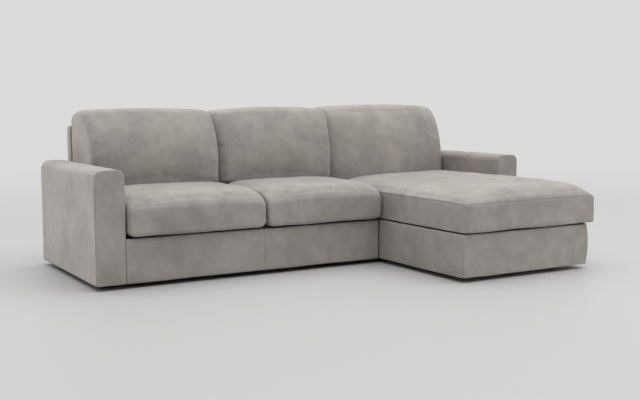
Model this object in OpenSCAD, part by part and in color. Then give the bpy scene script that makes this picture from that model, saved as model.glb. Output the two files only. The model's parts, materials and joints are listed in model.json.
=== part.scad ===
// Corner sofa bed: a two-seat module whose seat and back flip forward into a bed,
// beside a chaise with a lift-up lid over a storage box. Millimetres, +Z up, front at -Y.

/* [Overall] */
// Width of each arm
arm_w = 160; // [120:5:200]
// Height of the arms above the floor
arm_h = 600; // [540:5:680]
// Width of one of the two seats
seat_w = 770; // [700:5:900]
// Width of the chaise
chaise_w = 900; // [780:5:1000]
// Depth of the sofa module over its back
sofa_d = 975; // [960:5:1040]
// Reach of the chaise base in front of the sofa
chaise_out = 755; // [600:5:900]
// Height of the top of the upholstered base
base_h = 255; // [250:1:262]
// Height of the feet
foot_h = 30; // [24:1:34]
// Height of the outer back
back_h = 800; // [770:5:830]
// Thickness of the outer back
back_t = 60; // [56:1:80]

/* [Upholstery] */
// Padding over the arm frames
arm_pad = 22; // [14:1:28]
// Radius of the upper arm edges
arm_r = 42; // [26:1:60]
// Radius of the edges round the arm fronts
arm_edge_r = 8; // [3:1:14]
// Padding over the back frames
back_pad = 14; // [8:1:18]
// Padding over the base boards
base_pad = 7; // [4:1:9]
// Reach of the seat cushions past the base front
seat_nose = 36; // [20:1:42]
// Height of the seat cushions at their edges above the floor
seat_top = 470; // [440:1:478]
// Extra height of the seat cushions at their middle
seat_crown = 12; // [4:1:16]
// Height of the back cushions above the floor
back_top = 900; // [870:1:940]
// Depth of the back cushions at the seat
back_depth = 380; // [340:1:400]
// Reach of the chaise cushion past its base
chaise_lip = 20; // [8:1:30]
// Reach of the chaise cushion past its base at the free side
chaise_side = 28; // [8:1:34]
// Height of the seam round the top of the chaise cushion
chaise_seam = 409; // [380:1:425]

/* [Wood] */
// Thickness of the base boards
board_t = 15; // [12:1:18]
// Thickness of the side rails of the bed module
rail_t = 30; // [20:1:32]
// Thickness of the boards of the arm frames
arm_board_t = 15; // [10:1:20]
// Thickness of the chaise box walls
box_t = 18; // [12:1:22]
// Thickness of the chaise floor board
floor_t = 12; // [8:1:15]
// Thickness of the chaise lid board
lid_t = 18; // [12:1:18]

/* [Bed] */
// Room beside the mattress on each side
side_room = 70; // [66:1:90]
// Thickness of each mattress section
mattress_t = 75; // [70:1:80]
// Diameter of the frame tubes
tube_d = 25; // [22:0.5:26]
// Diameter of the wires of the bed mesh
wire_d = 3.5; // [2.5:0.5:4]
// Thickness of the cushion webbing
belt_t = 2; // [1:0.5:3]
// Length of the lift links between their pivots
lift_len = 203; // [196:1:206]
// Droop of the lift links below level when the bed is closed
lift_droop = 17; // [15:1:19]
// Thickness of the lift links
link_t = 6; // [4:0.5:6]
// Diameter of the lift link pivots
link_pin_d = 12; // [8:1:14]
// Diameter of the pins between the bed sections
fold_pin_d = 14; // [10:1:16]
// Diameter of the leg shaft
shaft_d = 16; // [12:1:18]
// Length of the bed section that the back cushions stand on
fold_len = 517; // [480:1:520]

/* [Chaise lid] */
// Height of the lid hinge above the floor
lid_hinge_z = 450; // [446:1:475]
// Diameter of the lid hinge pins
lid_pin_d = 8; // [6:0.5:10]

/* [Hidden] */
$fn = 48;

// Clearances
pin_gap = 0.05;
loose_gap = 0.5;
soft_gap = 3;
seat_gap = 0.1;
rest_gap = 0.3;

// Widths along X, from the outer face of the left arm
x_bed = arm_w;
bed_w = 2 * seat_w;
x_chaise = x_bed + bed_w;
x_arm2 = x_chaise + chaise_w;
total_w = x_arm2 + arm_w;
mattress_w = bed_w - 2 * side_room;

// Depths along Y, from the front plane of the sofa
y_back = sofa_d - back_t;
back_face = y_back - back_depth;
y_out = -chaise_out;
y_tip = y_out - chaise_lip;
y_mid = (y_tip + sofa_d) / 2;
panel_t = base_pad + board_t;

// Heights of the folded bed, from the floor up
cross_d = 25;
pad_t = 5;
seam_gap = 1;
head_z = foot_h + cross_d + pad_t + tube_d / 2;
hinge_z = head_z + tube_d / 2 + mattress_t + seam_gap;
seat_z = hinge_z + seam_gap + mattress_t + wire_d + tube_d / 2;
cushion_z = seat_z + tube_d / 2 + belt_t + 0.5;

// Places of the bed pivots along Y
ear_r = 18;
hinge_y = panel_t + ear_r + 5;
rear_room = 29;
fold_y = y_back - rear_room - mattress_t - wire_d - tube_d / 2;
lift_rise = lift_len * (cos(lift_droop) + sin(lift_droop));
leg_z_open = 2 * hinge_z + lift_rise - seat_z;
leg_w = 22;
cap_t = 4;
leg_y = y_back - rear_room + 1 - leg_z_open;
seat_rear = min(back_face, leg_y - leg_w / 2) - soft_gap;

// The two lift links of each side, with the slope of their pivot line
lift_front = [hinge_y + 25, hinge_z + 26];
lift_back = lift_front + [181, -85];
link_end = [lift_len * cos(lift_droop), -lift_len * sin(lift_droop)];

// Planes beside the mattress, measured in from each side of the bed module
frame_in = 50;
plate_t = 5;
plate_in = rail_t;
link_in = plate_in + plate_t + 1;
bracket_in = frame_in - 5;
bracket_t = 7;
fold_in = bracket_in + bracket_t + 1;
leg_in = 20;
leg_t = 12;
frame_w = bed_w - 2 * frame_in;
loop_r = 40;
wing_w = 42;

// Chaise box
box_x0 = x_chaise + base_pad;
box_x1 = x_arm2 - base_pad;
box_y0 = y_out + base_pad;
box_z0 = foot_h;
lid_z = base_h + rest_gap;
lid_y1 = back_face - soft_gap - 4;
lid_ear_r = 9;
lid_hinge_y = lid_y1 - lid_ear_r;
lid_plate_t = 2;
hinge_arm_t = 4;
arm_x = lid_plate_t;
notch_x = arm_x + hinge_arm_t;
notch_y = lid_y1 - 70;

module place() translate([-total_w / 2, -y_mid, 0]) children();

// Turns a shape drawn in Y and Z into a plate of thickness t that starts at x
module plate_x(x, t) translate([x, 0, 0]) rotate([90, 0, 90]) linear_extrude(t) children();

// Puts the children on both sides of the bed module
module both_sides() {
    children();
    translate([2 * x_bed + bed_w, 0, 0]) mirror([1, 0, 0]) children();
}

module rounded_rect(w, h, r) {
    translate([r, 0]) square([w - 2 * r, h]);
    translate([0, r]) square([w, h - 2 * r]);
    for (x = [r, w - r], y = [r, h - r]) translate([x, y]) circle(r);
}

// Outline with square feet and round upper corners
module round_top(w, h, r) {
    square([w, h - r]);
    translate([r, 0]) square([w - 2 * r, h]);
    for (x = [r, w - r]) translate([x, h - r]) circle(r);
}

// A board with a row of round-cornered windows, drawn flat
module ladder(w, h, post, rail, count, r = 20) {
    win = (w - (count + 1) * post) / count;
    difference() {
        square([w, h]);
        for (i = [0 : count - 1]) translate([post + i * (win + post), rail])
            rounded_rect(win, h - 2 * rail, r);
    }
}

// Closed loop of round tube in the XY plane, outer size w by d, axis at z = 0
module tube_loop(w, d, r, t) {
    c = r + t / 2;
    for (y = [t / 2, d - t / 2]) translate([c, y, 0]) rotate([0, 90, 0]) cylinder(d = t, h = w - 2 * c);
    for (x = [t / 2, w - t / 2]) translate([x, c, 0]) rotate([-90, 0, 0]) cylinder(d = t, h = d - 2 * c);
    for (k = [[0, 0, 180], [1, 0, 270], [1, 1, 0], [0, 1, 90]])
        translate([k[0] == 1 ? w - c : c, k[1] == 1 ? d - c : c, 0]) rotate([0, 0, k[2]])
            rotate_extrude(angle = 90) translate([r, 0]) circle(d = t);
}

// Curves for the soft outlines
function bend(a, b, c, n) = [for (i = [0 : n]) let (t = i / n)
    a * (1 - t) * (1 - t) + b * 2 * t * (1 - t) + c * t * t];
function swell(t) = 1 - pow(abs(2 * t - 1), 2.5);

// Closed soft solid along X: ring is a function of x that returns its Y and Z outline
module soft_loft(xs, ring, core) {
    n = len(ring(xs[0]));
    m = len(xs);
    points = concat(
        [for (x = xs) for (p = ring(x)) [x, p[0], p[1]]],
        [[xs[0], core[0], core[1]], [xs[m - 1], core[0], core[1]]]);
    sides = [for (i = [0 : m - 2]) for (k = [0 : n - 1]) let (
        a = i * n + k, b = i * n + (k + 1) % n, c = b + n, d = a + n)
        each [[a, c, b], [a, d, c]]];
    caps = [for (k = [0 : n - 1]) each [
        [m * n, k, (k + 1) % n],
        [m * n + 1, (m - 1) * n + (k + 1) % n, (m - 1) * n + k]]];
    polyhedron(points, concat(sides, caps));
}

// Places along X of the rings of a cushion: close together in the rounded ends
function stations(x0, x1, r, n = 5, mid = 8) = concat(
    [for (i = [0 : n]) x0 + r * (1 - cos(90 * i / n))],
    [for (i = [1 : mid - 1]) x0 + r + (x1 - x0 - 2 * r) * i / mid],
    [for (i = [0 : n]) x1 - r * (1 - sin(90 * i / n))]);
// How far the outline is drawn in at x by an end rounding of radius r
function end_draw(x, x0, x1, r) = let (d = min(x - x0, x1 - x))
    d >= r ? 0 : r - sqrt(max(0, r * r - (r - d) * (r - d)));

// Arms: the side outline has a tight front corner and a wide rear one
module arm_side(d, h, front_r, rear_r) {
    square([d - rear_r, h - front_r]);
    square([d, h - rear_r]);
    translate([front_r, 0]) square([d - front_r - rear_r, h]);
    translate([front_r, h - front_r]) circle(front_r);
    translate([d - rear_r, h - rear_r]) circle(rear_r);
}
module arm_solid(x, inset, z0) {
    w = arm_w - 2 * inset;
    d = sofa_d - 2 * inset;
    h = arm_h - inset - z0;
    r = arm_r - inset;
    edge_r = max(arm_edge_r - inset, 2);
    intersection() {
        translate([x + inset, sofa_d - inset, z0]) rotate([90, 0, 0]) linear_extrude(d) round_top(w, h, r);
        plate_x(x + inset, w) translate([inset, z0]) arm_side(d, h, edge_r, r);
        translate([x + inset, inset, z0]) linear_extrude(h) rounded_rect(w, d, edge_r);
    }
}
module arm_cover(x) color([0.62, 0.60, 0.57]) place() difference() {
    arm_solid(x, 0, foot_h);
    translate([x + arm_pad, arm_pad, foot_h - 1])
        cube([arm_w - 2 * arm_pad, sofa_d - 2 * arm_pad, arm_h - arm_r - foot_h + 1]);
    arm_solid(x, arm_pad, foot_h);
}
arm_block = 50;
module arm_frame(x) color("burlywood") place() {
    w = arm_w - 2 * arm_pad;
    d = sofa_d - 2 * arm_pad;
    h = arm_h - arm_r - foot_h;
    for (px = [0, w - arm_board_t]) plate_x(x + arm_pad + px, arm_board_t)
        translate([arm_pad, foot_h]) ladder(d, h, 50, 60, 4);
    over_foot = foot_edge - arm_pad - arm_block / 2;
    for (y = [over_foot, (d - arm_block) / 2, d - arm_block - over_foot], z = [0, h - 60])
        translate([x + arm_pad + arm_board_t, arm_pad + y, foot_h + z])
            cube([w - 2 * arm_board_t, arm_block, 60]);
}
module left_arm_frame() arm_frame(0);
module left_arm_cover() arm_cover(0);
module right_arm_frame() arm_frame(x_arm2);
module right_arm_cover() arm_cover(x_arm2);

// Outer backs
module back_cover(x, w) color([0.60, 0.58, 0.55]) place() difference() {
    plate_x(x, w) translate([y_back, foot_h]) round_top(back_t, back_h - foot_h, 25);
    plate_x(x + back_pad, w - 2 * back_pad) translate([y_back + back_pad, foot_h - 1])
        square([back_t - 2 * back_pad, back_h - back_pad - 12 - foot_h + 1]);
}
module back_frame(x, w, count) color("burlywood") place()
    translate([x + back_pad, y_back + back_t - back_pad, foot_h]) rotate([90, 0, 0])
        linear_extrude(back_t - 2 * back_pad)
            ladder(w - 2 * back_pad, back_h - back_pad - 12 - foot_h, 45, 60, count);
module sofa_back_frame() back_frame(x_bed, bed_w, 6);
module sofa_back_cover() back_cover(x_bed, bed_w);
module chaise_back_frame() back_frame(x_chaise, chaise_w, 4);
module chaise_back_cover() back_cover(x_chaise, chaise_w);

// Base of the bed module
module front_board() color("burlywood") place()
    translate([x_bed, base_pad, foot_h + 2]) cube([bed_w, board_t, base_h - foot_h - base_pad]);
module front_cover() color([0.55, 0.53, 0.50]) place() difference() {
    plate_x(x_bed + 1, bed_w - 2) translate([0, foot_h]) round_top(panel_t, base_h - foot_h, 6);
    translate([x_bed, base_pad, foot_h - 1]) cube([bed_w, board_t + 1, base_h - foot_h - base_pad + 3]);
}
rail_h = base_h - foot_h - 25;
rear_rail_t = 22;
module side_rail() color("burlywood") place()
    translate([x_bed, panel_t, foot_h]) cube([rail_t, y_back - rear_rail_t - panel_t, rail_h]);
module left_side_rail() side_rail();
module right_side_rail() color("burlywood") place()
    translate([x_bed + bed_w - rail_t, panel_t, foot_h])
        cube([rail_t, y_back - rear_rail_t - panel_t, rail_h]);
rear_rail_h = 120;
module rear_rail() color("burlywood") place()
    translate([x_bed, y_back - rear_rail_t, foot_h]) cube([bed_w, rear_rail_t, rear_rail_h]);

// Steel plate on the side rail with the fixed studs of the lift links
module lift_plate_shape() difference() {
    union() {
        polygon([[hinge_y - 15, foot_h + 2], [lift_back[0] + 80, foot_h + 2],
            [lift_back[0] + 80, lift_back[1] - 15], lift_back + [10, 24],
            lift_front + [16, 18], [hinge_y - 15, lift_front[1] + 4]]);
        translate(lift_front) circle(20);
        translate(lift_back) circle(22);
    }
    translate([lift_front[0] + 50, foot_h + 55]) rounded_rect(80, 34, 12);
}
module lift_plate() {
    plate_x(x_bed + plate_in, plate_t) lift_plate_shape();
    for (p = [lift_front, lift_back]) {
        plate_x(x_bed + plate_in + plate_t, 1) translate(p) circle(d = link_pin_d + 8);
        plate_x(x_bed + plate_in + plate_t, link_t + 2) translate(p) circle(d = link_pin_d);
    }
}
module left_lift_plate() color("dimgray") place() lift_plate();
module right_lift_plate() color("dimgray") place()
    translate([2 * x_bed + bed_w, 0, 0]) mirror([1, 0, 0]) lift_plate();
rear_tube = 240;
cross_y = [hinge_y + 25, y_back - rear_tube];
module base_cross_tubes() color("dimgray") place() for (k = [0, 1]) {
    inset = k == 0 ? plate_in + plate_t : rail_t;
    translate([x_bed + inset, cross_y[k], foot_h + cross_d / 2]) rotate([0, 90, 0])
        cylinder(d = cross_d, h = bed_w - 2 * inset);
}
module rest_pads() color([0.1, 0.1, 0.1]) place() both_sides() for (y = cross_y) difference() {
    translate([x_bed + frame_in, y - 15, foot_h + cross_d - 4]) cube([tube_d, 30, pad_t + 4 - seat_gap]);
    translate([x_bed, y, foot_h + cross_d / 2]) rotate([0, 90, 0]) cylinder(d = cross_d, h = 200);
}
foot_d = 46;
foot_edge = 125;
foot_r = 3;
module foot() color([0.08, 0.08, 0.08]) rotate_extrude() {
    square([foot_d / 2 - foot_r, foot_h]);
    translate([0, foot_r]) square([foot_d / 2, foot_h - foot_r]);
    translate([foot_d / 2 - foot_r, foot_r]) circle(foot_r);
}
module sofa_feet() place() {
    for (x = [arm_w / 2, total_w - arm_w / 2], y = [foot_edge, sofa_d - foot_edge])
        translate([x, y, 0]) foot();
    for (y = [foot_edge, y_back - foot_edge]) translate([x_chaise - foot_d / 2 - 1, y, 0]) foot();
}

// Lift links, drawn from the fixed pivot at the origin
link_w = 26;
link_waist = 20;
module link_shape(far_gap) difference() {
    union() {
        circle(link_w / 2);
        translate(link_end) circle(link_w / 2);
        rotate(-lift_droop) translate([0, -link_waist / 2]) square([lift_len, link_waist]);
    }
    circle(r = link_pin_d / 2 + pin_gap);
    translate(link_end) circle(r = link_pin_d / 2 + far_gap);
}
module lift_link(at, far_gap) plate_x(x_bed + link_in, link_t) translate(at) link_shape(far_gap);
module left_lift_links() color("gray") place() lift_link(lift_front, pin_gap);
module right_lift_links() color("gray") place()
    translate([2 * x_bed + bed_w, 0, 0]) mirror([1, 0, 0]) lift_link(lift_front, pin_gap);
module rear_lift_links() color("gray") place() both_sides() lift_link(lift_back, loose_gap);

// Head section: stays face up under the seat
head_y0 = hinge_y + 40;
head_y1 = y_back - 125;
module head_bracket() {
    a = lift_front + link_end;
    b = lift_back + link_end;
    plate_x(x_bed + bracket_in, bracket_t) difference() {
        union() {
            translate(a) circle(16);
            translate(b) circle(13);
            polygon([a + [-16, 0], a + [4, 16], [b[0] + 13, head_z + 8], b + [13, 0], b + [0, -13],
                [a[0] - 16, head_z - 10]]);
        }
        translate((a + b) / 2 + [-30, -6]) rotate(-25) rounded_rect(60, 14, 6);
    }
    for (p = [a, b]) plate_x(x_bed + link_in, bracket_in - link_in + 1) translate(p) circle(d = link_pin_d);
}
module head_ear() {
    hinge = [hinge_y, hinge_z];
    plate_x(x_bed + bracket_in, bracket_t) union() {
        translate(hinge) circle(ear_r);
        polygon([hinge + [-ear_r + 3, -10], hinge + [12, 14], [head_y0 + 70, head_z + 9],
            [head_y0 + 50, head_z - 9], [head_y0 + 10, head_z - 9]]);
    }
    plate_x(x_bed + bracket_in + bracket_t, fold_pin_len) translate(hinge) circle(d = fold_pin_d);
}
ear_t = 5;
fold_pin_len = ear_t + 2;
module head_frame() color("dimgray") place() {
    translate([x_bed + frame_in, head_y0, head_z]) tube_loop(frame_w, head_y1 - head_y0, loop_r, tube_d);
    both_sides() {
        head_bracket();
        head_ear();
    }
}
slat_count = 8;
slat_w = 52;
slat_t = 8;
holder_w = 22;
holder_lap = 5;
slat_end = loop_r + tube_d / 2 + holder_lap + 3;
slat_step = (head_y1 - head_y0 - 2 * slat_end - slat_w) / (slat_count - 1);
function slat_y(i) = head_y0 + slat_end + i * slat_step;
slat_z = head_z - 2;
module slat_holders() color([0.15, 0.15, 0.16]) place() both_sides() for (i = [0 : slat_count - 1])
    difference() {
        translate([x_bed + frame_in + tube_d + seat_gap, slat_y(i) - holder_lap, slat_z - 6])
            cube([holder_w, slat_w + 2 * holder_lap, slat_t + 11]);
        translate([x_bed + frame_in + tube_d + 4, slat_y(i) - rest_gap, slat_z - seat_gap])
            cube([holder_w, slat_w + 2 * rest_gap, slat_t + 2 * seat_gap]);
    }
module head_slats() color("wheat") place() for (i = [0 : slat_count - 1])
    translate([x_bed + frame_in + tube_d + 5, slat_y(i), slat_z])
        cube([frame_w - 2 * tube_d - 10, slat_w, slat_t]);
module section_mattress(w, l, t, r = 14) {
    translate([0, 0, t / 2]) rotate([-90, 0, 0]) translate([0, -t / 2, 0])
        linear_extrude(l) rounded_rect(w, t, r);
}
module head_mattress() color("ivory") place()
    translate([x_bed + side_room, hinge_y + 4, head_z + tube_d / 2 + seat_gap])
        section_mattress(mattress_w, head_y1 - hinge_y - 4, mattress_t - seat_gap);

// Seat section: upside down over the head section, with the seat cushions on its back
seat_y0 = hinge_y + 12;
seat_y1 = fold_y - 16;
module seat_ears() {
    hinge = [hinge_y, hinge_z];
    fold = [fold_y, seat_z];
    plate_x(x_bed + fold_in, ear_t) difference() {
        union() {
            translate(hinge) circle(14);
            polygon([hinge + [-14, 0], hinge + [14, 0], [seat_y0 + 48, seat_z - 6],
                [seat_y0 + 44, seat_z + 6], [seat_y0 + 10, seat_z + 6]]);
        }
        translate(hinge) circle(r = fold_pin_d / 2 + pin_gap);
    }
    plate_x(x_bed + bracket_in, bracket_t) union() {
        translate(fold) circle(12);
        translate(fold - [80, 9]) square([80, 18]);
    }
    plate_x(x_bed + bracket_in + bracket_t, fold_pin_len) translate(fold) circle(d = fold_pin_d);
}
module seat_frame() color("dimgray") place() difference() {
    union() {
        translate([x_bed + frame_in, seat_y0, seat_z]) tube_loop(frame_w, seat_y1 - seat_y0, loop_r, tube_d);
        both_sides() seat_ears();
    }
    translate([x_bed, leg_y, seat_z]) rotate([0, 90, 0]) cylinder(r = shaft_d / 2 + pin_gap, h = bed_w);
}
// Welded wire mesh, drawn in XY with its wires on one level
module wire_mesh(w, d, step, t) {
    nx = floor(w / step);
    ny = floor(d / step);
    for (i = [1 : nx - 1]) translate([i * w / nx, 0, 0]) rotate([-90, 0, 0]) cylinder(d = t, h = d, $fn = 16);
    for (i = [0 : ny]) translate([0, i * d / ny, 0]) rotate([0, 90, 0]) cylinder(d = t, h = w, $fn = 16);
}
mesh_edge = tube_d / 2;
mesh_step = 110;
module seat_mesh() color("silver") place()
    translate([x_bed + frame_in + mesh_edge, seat_y0 + mesh_edge, seat_z - (tube_d + wire_d) / 2 - seat_gap])
        wire_mesh(frame_w - 2 * mesh_edge, seat_y1 - seat_y0 - 2 * mesh_edge, mesh_step, wire_d);
belt_w = 60;
module belts(w, d, count, t) for (i = [0 : count - 1])
    translate([0, i * (d - belt_w) / (count - 1), 0]) cube([w, belt_w, t]);
module seat_belts() color([0.12, 0.12, 0.13]) place()
    translate([x_bed + frame_in + 6, seat_y0 + 45, seat_z + tube_d / 2 + seat_gap])
        belts(frame_w - 12, seat_y1 - seat_y0 - 90, 5, belt_t);
module seat_mattress() color("ivory") place()
    translate([x_bed + side_room, hinge_y + 4, hinge_z + seam_gap])
        section_mattress(mattress_w, fold_y - 2 - hinge_y - 4, mattress_t - 2 * seat_gap);

// Seat cushion: rounded nose, crowned top, sides drawn in towards its ends
seat_end_r = 34;
nose_drop = 92;
nose_back = 96;
function seat_outline(c) = let (front = -seat_nose, high = seat_top + c)
    concat(
        [[seat_rear - 10, cushion_z], [seat_rear, cushion_z + 12], [seat_rear, seat_top - 22]],
        bend([seat_rear, seat_top - 22], [seat_rear - 3, seat_top + 2],
            [seat_rear - 40, seat_top + c * 0.7], 4),
        bend([(seat_rear + nose_back) / 2, high], [front + nose_back * 1.6, high],
            [front + nose_back, seat_top - 14 + c * 0.7], 3),
        bend([front + nose_back * 0.6, seat_top - 28 + c * 0.6], [front, seat_top - nose_drop / 2],
            [front, seat_top - nose_drop], 6),
        bend([front, cushion_z + 22], [front, cushion_z], [front + 24, cushion_z], 4));
module seat_cushion(x0, x1) color([0.66, 0.64, 0.61]) place() {
    mid = [(seat_rear - seat_nose) / 2, (seat_top + cushion_z) / 2];
    ring = function(x) let (
        t = (x - x0) / (x1 - x0),
        in = end_draw(x, x0, x1, seat_end_r),
        outline = seat_outline(seat_crown * swell(t)))
        [for (p = outline) let (v = mid - p, drop = in * max(0, -v[1] / norm(v)) * 1.3,
            lift = p[0] < 0 && p[1] < cushion_z + 30 ? in * 0.7 : 0)
            [p[0] + sign(v[0]) * min(in, abs(v[0])) * 0.7, p[1] + lift - (p[1] < cushion_z + 1 ? 0 : drop)]];
    soft_loft(stations(x0, x1, seat_end_r), ring, mid);
}
module left_seat_cushion() seat_cushion(x_bed + soft_gap, x_bed + seat_w - 1);
module right_seat_cushion() seat_cushion(x_bed + seat_w + 1, x_chaise - soft_gap);

// Legs that swing down under the seat section, on one shaft
module bed_legs() color("dimgray") place() {
    translate([x_bed + leg_in, leg_y, seat_z]) rotate([0, 90, 0])
        cylinder(d = shaft_d, h = bed_w - 2 * leg_in);
    both_sides() plate_x(x_bed + leg_in, leg_t) union() {
        translate([leg_y, seat_z]) circle(d = leg_w);
        translate([leg_y, seat_z - leg_w / 2]) square([leg_z_open - cap_t, leg_w]);
    }
}
module leg_caps() color([0.1, 0.1, 0.1]) place() both_sides()
    translate([x_bed + leg_in - 2, leg_y + leg_z_open - cap_t, seat_z - leg_w / 2 - 2])
        cube([leg_t + 4, cap_t, leg_w + 4]);

// Back section: stands up behind the back cushions, mattress to the rear
fold_z0 = seat_z + 15;
module back_section_frame() color("dimgray") place() {
    translate([x_bed + frame_in, fold_y, fold_z0]) rotate([90, 0, 0])
        tube_loop(frame_w, fold_len, loop_r, tube_d);
    both_sides() plate_x(x_bed + fold_in, ear_t) difference() {
        union() {
            translate([fold_y, seat_z]) circle(12);
            translate([fold_y - 9, seat_z]) square([18, 90]);
        }
        translate([fold_y, seat_z]) circle(r = fold_pin_d / 2 + pin_gap);
    }
}
module back_section_mesh() color("silver") place()
    translate([x_bed + frame_in + mesh_edge, fold_y + (tube_d + wire_d) / 2 + seat_gap, fold_z0 + mesh_edge])
        rotate([90, 0, 0]) wire_mesh(frame_w - 2 * mesh_edge, fold_len - 2 * mesh_edge, mesh_step, wire_d);
module back_section_belts() color([0.12, 0.12, 0.13]) place()
    translate([x_bed + frame_in + 6, fold_y - tube_d / 2 - seat_gap, fold_z0 + 45])
        rotate([90, 0, 0]) belts(frame_w - 12, fold_len - 90, 4, belt_t);
module back_section_mattress() color("ivory") place()
    translate([x_bed + side_room, fold_y + tube_d / 2 + wire_d + 2 * seat_gap, seat_z + 2]) rotate([90, 0, 0])
        translate([0, 0, -(mattress_t - 2 * seat_gap)])
            section_mattress(mattress_w, fold_len + 13, mattress_t - 2 * seat_gap);

// Back cushions: upright front that rolls over at the top
back_z0 = seat_top - 14;
back_end_r = 30;
back_swell = 14;
back_roll = 135;
function back_front(z0, top, c) = let (face = back_face, high = top + c * 0.4)
    concat(
        bend([face + 14, z0], [face + 1, z0], [face, z0 + 14], 3),
        bend([face - c * 0.5, z0 + 120], [face + 3 - c, top - back_roll],
            [face + back_roll, top - 15 + c * 0.3], 9),
        bend([face + back_roll + 30, high - 4], [face + back_roll + 65, high],
            [face + back_roll + 100, high], 2));
function roll_back(top, rear, z1, c) =
    bend([rear - 105, top - 3 + c * 0.3], [rear - 12, top - 6], [rear, z1 + 12], 4);
core_back = [back_face + back_roll + 55, back_top - 60];
function toward(p, core, d, foot) = let (v = core - p, l = max(norm(v), 1))
    [p[0] + v[0] / l * d, p[1] < foot + 1 ? p[1] : p[1] + v[1] / l * d];
module back_cushion(x0, x1, top, outer) color([0.64, 0.62, 0.59]) place() {
    rear = y_back - 5;
    step_y = fold_y - tube_d / 2 - belt_t - 0.6;
    step_z = fold_z0 + fold_len + soft_gap;
    xs = stations(x0, x1, back_end_r);
    ring = function(x) let (
        t = (x - x0) / (x1 - x0),
        in = end_draw(x, x0, x1, back_end_r),
        c = back_swell * swell(t),
        front = concat(back_front(back_z0, top, c), roll_back(top, rear, step_z, c)))
        concat([for (p = front) let (draw = p[1] > top - back_roll || p[0] < back_face + 40 ? in : 0)
                toward(p, core_back, draw, back_z0)],
            [[rear, step_z], [step_y, step_z], [step_y, back_z0]]);
    union() {
        soft_loft(xs, function(x) let (r = ring(x), n = len(r)) [for (k = [n - 1 : -1 : 0]) r[k]], core_back);
        translate([outer > 0 ? x1 - wing_w : x0 + 1, step_y - 2, back_z0 + 2])
            cube([wing_w - 1, rear - step_y + 1, step_z - back_z0]);
    }
}
module left_back_cushion() back_cushion(x_bed + soft_gap, x_bed + seat_w - 1, back_top, -1);
module right_back_cushion() back_cushion(x_bed + seat_w + 1, x_chaise - soft_gap, back_top + 8, 1);

// Chaise base: a plain box with a padded skirt
module box_board(x0, x1, y0, y1, z0, z1) color("burlywood") place()
    translate([x0, y0, z0]) cube([x1 - x0, y1 - y0, z1 - z0]);
cross_board_y = back_face + 5;
module chaise_front_board() box_board(box_x0, box_x1, box_y0, box_y0 + box_t, box_z0, base_h);
module chaise_left_board() box_board(box_x0, box_x0 + box_t, box_y0 + box_t, y_back, box_z0, base_h);
module chaise_right_board() box_board(box_x1 - box_t, box_x1, box_y0 + box_t, y_back, box_z0, base_h);
module chaise_cross_board() box_board(box_x0 + box_t, box_x1 - box_t, cross_board_y, cross_board_y + box_t,
    box_z0 + floor_t, base_h);
module chaise_rear_board() box_board(box_x0 + box_t, box_x1 - box_t, y_back - box_t, y_back,
    box_z0 + floor_t, base_h);
module chaise_floor_board() box_board(box_x0 + box_t, box_x1 - box_t, box_y0 + box_t, y_back,
    box_z0, box_z0 + floor_t);
module chaise_deck_board() box_board(box_x0, box_x1, cross_board_y, y_back, base_h, base_h + lid_t);
module chaise_base_cover() color([0.57, 0.55, 0.52]) place() difference() {
    translate([x_chaise, y_out, foot_h]) linear_extrude(base_h - foot_h)
        union() {
            translate([0, 20]) square([chaise_w, y_back - y_out - 20]);
            translate([20, 0]) square([chaise_w - 40, 40]);
            for (x = [20, chaise_w - 20]) translate([x, 20]) circle(20);
        }
    translate([box_x0, box_y0, foot_h - 1]) cube([box_x1 - box_x0, y_back - box_y0 + 1, base_h - foot_h + 2]);
}
module chaise_feet() place()
    for (x = [box_x0 + foot_edge, box_x1 - foot_edge], y = [box_y0 + foot_edge, y_back - foot_edge])
        translate([x, y, 0]) foot();
// Flat plates that join the two modules from below
join_t = 4;
join_w = 50;
module module_plates() color("silver") place()
    for (y = [foot_edge + 75, y_back - foot_edge - 75])
        translate([x_chaise - rail_t + 2, y - join_w / 2, foot_h - join_t])
            cube([rail_t + base_pad + box_t - 4, join_w, join_t]);

// Chaise back cushion stands on the fixed deck
module chaise_back_cushion() color([0.64, 0.62, 0.59]) place() {
    x0 = x_chaise + soft_gap;
    x1 = x_arm2 - soft_gap;
    rear = y_back - 1;
    z0 = base_h + lid_t + rest_gap;
    top = back_top + 20;
    step_z = back_h - 10;
    core = [back_face + back_roll + 55, (z0 + top) / 2];
    ring = function(x) let (
        t = (x - x0) / (x1 - x0),
        in = end_draw(x, x0, x1, back_end_r),
        c = back_swell * swell(t),
        outline = concat([[back_face + 6, z0], [back_face + 2, seat_top - 10]],
            back_front(seat_top + 2, top, c), roll_back(top, rear, step_z, c),
            [[rear, step_z], [rear, z0]]))
        [for (p = outline) toward(p, core, p[1] > seat_top + 10 ? in : 0, z0)];
    soft_loft(stations(x0, x1, back_end_r), function(x) let (r = ring(x), n = len(r))
        [for (k = [n - 1 : -1 : 0]) r[k]], core);
}

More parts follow.
